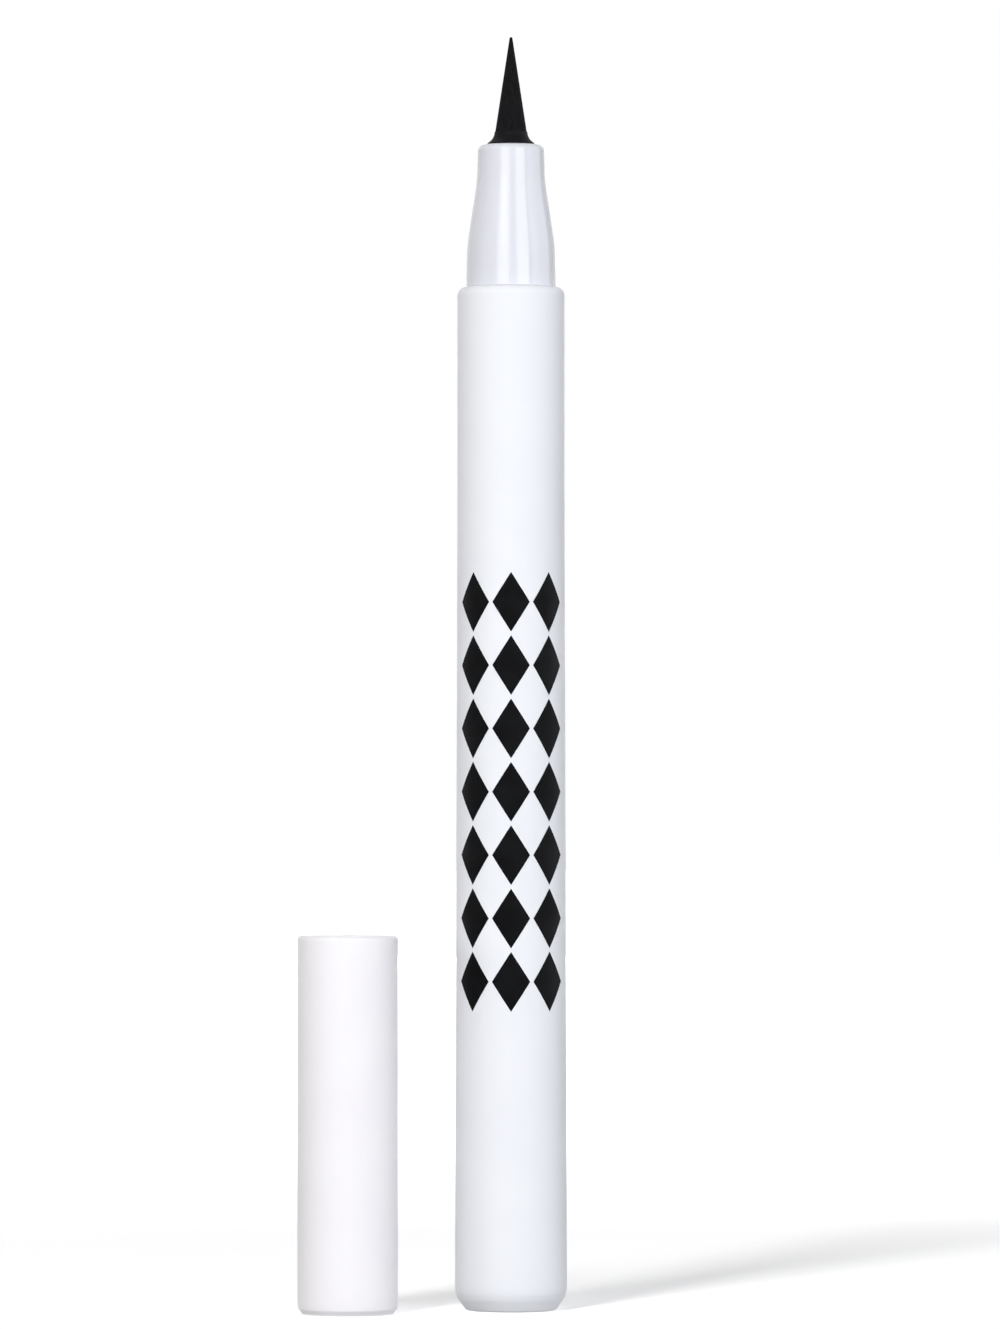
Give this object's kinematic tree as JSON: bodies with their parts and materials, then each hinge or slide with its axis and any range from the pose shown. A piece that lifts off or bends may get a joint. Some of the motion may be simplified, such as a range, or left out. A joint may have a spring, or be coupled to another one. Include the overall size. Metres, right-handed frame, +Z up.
{
  "type": "liquid eyeliner pen",
  "caption": "Slim liquid eyeliner pen with a felt nib and an ink tank, standing beside its push-on cap with a sprung inner cap.",
  "frame": {"origin": "middle of the pen's flat foot, on the surface it stands on", "axes": "+Z up along the pen from its foot to its nib; the cap stands towards -X and -Y, and a viewer who faces the pen as usual looks along +Y"},
  "size_m": [0.0268, 0.0164, 0.1273],
  "materials": {
    "matte_white": "soft-touch matte",
    "gloss_white": "glossy moulded",
    "natural_plastic": "translucent natural moulded",
    "black_plastic": "satin moulded",
    "black_felt": "pressed fibre soaked with ink",
    "grey_rubber": "matte",
    "steel": "polished"
  },
  "bodies": {
    "pen": {"barrel": "matte_white", "tail_plug": "matte_white", "ink_tank": "natural_plastic", "tank_plug": "natural_plastic", "tank_seal": "grey_rubber", "front_seal": "grey_rubber", "grip_section": "gloss_white", "tip_collar": "black_plastic", "felt_nib": "black_felt", "nib_holder": "natural_plastic", "collector": "natural_plastic", "partition": "grey_rubber", "feed_rod": "black_felt"},
    "ball_1": {"mixing_ball_1": "steel"},
    "ball_2": {"mixing_ball_2": "steel"},
    "cap": {"cap_shell": "matte_white", "cap_spring": "steel"},
    "inner_cap": {"inner_cap": "natural_plastic"}
  },
  "joints": [
    {"name": "ball_1_travel", "type": "slide", "parent": "pen", "child": "ball_1", "axis": [0, 0, 1], "range_m": [0, 0.0434]},
    {"name": "ball_2_travel", "type": "slide", "parent": "pen", "child": "ball_2", "axis": [0, 0, 1], "range_m": [0, 0.0434]},
    {"name": "cap_lift", "type": "slide", "parent": "pen", "child": "cap", "axis": [0, 0, 1], "range_m": [0, 0.13]},
    {"name": "inner_cap_slide", "type": "slide", "parent": "cap", "child": "inner_cap", "axis": [0, 0, 1], "range_m": [0, 0.0029], "stiffness_N_per_m": 200, "springref_m": -0.002, "deforming": ["cap_spring"]}
  ]
}
